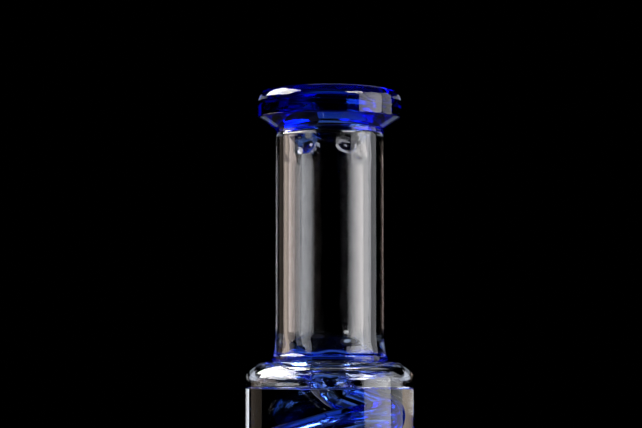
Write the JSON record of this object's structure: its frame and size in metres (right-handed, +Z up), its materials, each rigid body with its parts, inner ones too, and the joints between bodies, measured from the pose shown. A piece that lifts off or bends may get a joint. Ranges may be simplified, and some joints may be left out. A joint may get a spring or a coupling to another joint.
{
  "type": "coil chamber glass water pipe",
  "caption": "Free-standing blown-glass water pipe: rolled blue lip, clear neck, glycerin-filled jacket with a blue glass coil, beaker base, slanted downstem and lift-out bowl.",
  "frame": {"origin": "centre of the base's underside, on the table", "axes": "+Z up the neck's axis towards the mouth, +X towards the slanted downstem, -Y the front"},
  "size_m": [0.1761, 0.11, 0.3922],
  "materials": {
    "glass_clear": "polished clear borosilicate",
    "glass_blue": "polished cobalt blue",
    "glass_ground": "ground, frosted",
    "glycerin": "clear liquid",
    "silicone": "translucent matte"
  },
  "bodies": {
    "base": {"base_foot": "glass_clear", "base_beaker": "glass_clear", "base_neck": "glass_clear", "base_socket": "glass_ground", "socket_rim": "glass_blue", "port_tube": "glass_clear", "port_ring": "glass_blue", "port_socket": "glass_ground", "port_rim": "glass_blue"},
    "chamber": {"mouth_lip": "glass_blue", "neck_tube": "glass_clear", "neck_foot_ring": "glass_blue", "coil_funnel": "glass_blue", "jacket_shoulder": "glass_clear", "jacket_tube": "glass_clear", "jacket_floor": "glass_clear", "coil_outlet": "glass_blue", "coil_tube": "glass_blue", "glycerin_fill": "glycerin", "fill_spout": "glass_clear", "lower_neck_ring": "glass_blue", "lower_neck": "glass_clear", "chamber_joint": "glass_ground", "drip_tip": "glass_clear"},
    "plug": {"fill_plug": "silicone"},
    "downstem": {"diffuser_tip": "glass_clear", "downstem_tube": "glass_clear", "downstem_joint": "glass_ground", "downstem_head": "glass_clear"},
    "bowl": {"bowl_joint": "glass_ground", "bowl_cup": "glass_clear", "bowl_handle": "glass_blue"}
  },
  "joints": [
    {"name": "chamber_lift", "type": "slide", "parent": "base", "child": "chamber", "axis": [0, 0, 1], "range_m": [0, 0.06]},
    {"name": "plug_slide", "type": "slide", "parent": "chamber", "child": "plug", "axis": [0, 1, 0], "range_m": [0, 0.012]},
    {"name": "downstem_slide", "type": "slide", "parent": "base", "child": "downstem", "axis": [0.7071, 0, 0.7071], "range_m": [0, 0.11]},
    {"name": "bowl_slide", "type": "slide", "parent": "downstem", "child": "bowl", "axis": [0.7071, 0, 0.7071], "range_m": [0, 0.03]}
  ]
}
